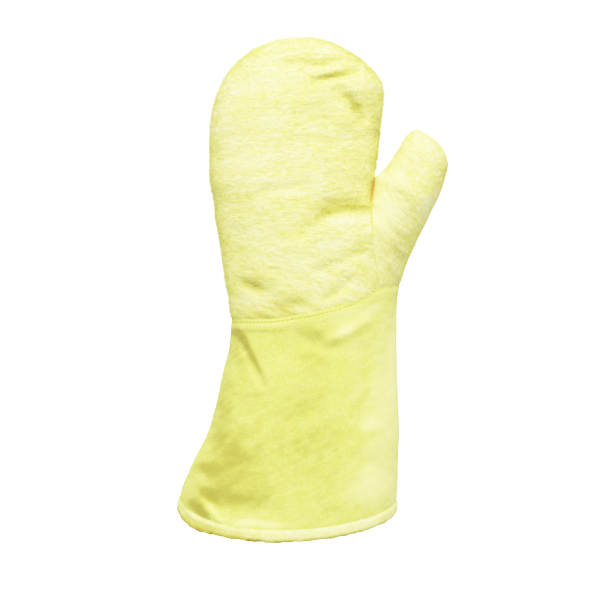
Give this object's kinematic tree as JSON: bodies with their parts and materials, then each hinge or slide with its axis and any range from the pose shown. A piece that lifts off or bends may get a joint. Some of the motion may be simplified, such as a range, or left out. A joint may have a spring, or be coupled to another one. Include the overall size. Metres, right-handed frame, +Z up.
{
  "type": "aramid mitten",
  "caption": "Long heat-protection mitten lying palm down: terry hand and thumb, and a flared gauntlet cuff with a bound hem, hollow for the hand.",
  "frame": {"origin": "middle of the mitten's plan, on the surface that it lies on", "axes": "+X towards the thumb's side, +Y towards the fingertips, +Z up through the back of the hand"},
  "size_m": [0.217, 0.3967, 0.0723],
  "materials": {
    "terry": "brushed terry pile, matt",
    "cuff_cloth": "felted cloth, matt",
    "binding": "folded cloth tape, matt"
  },
  "bodies": {
    "root": {"back_panel": "terry", "palm_panel": "terry", "thumb_back": "terry", "thumb_palm": "terry", "cuff": "cuff_cloth", "hem_binding": "binding"}
  },
  "joints": []
}
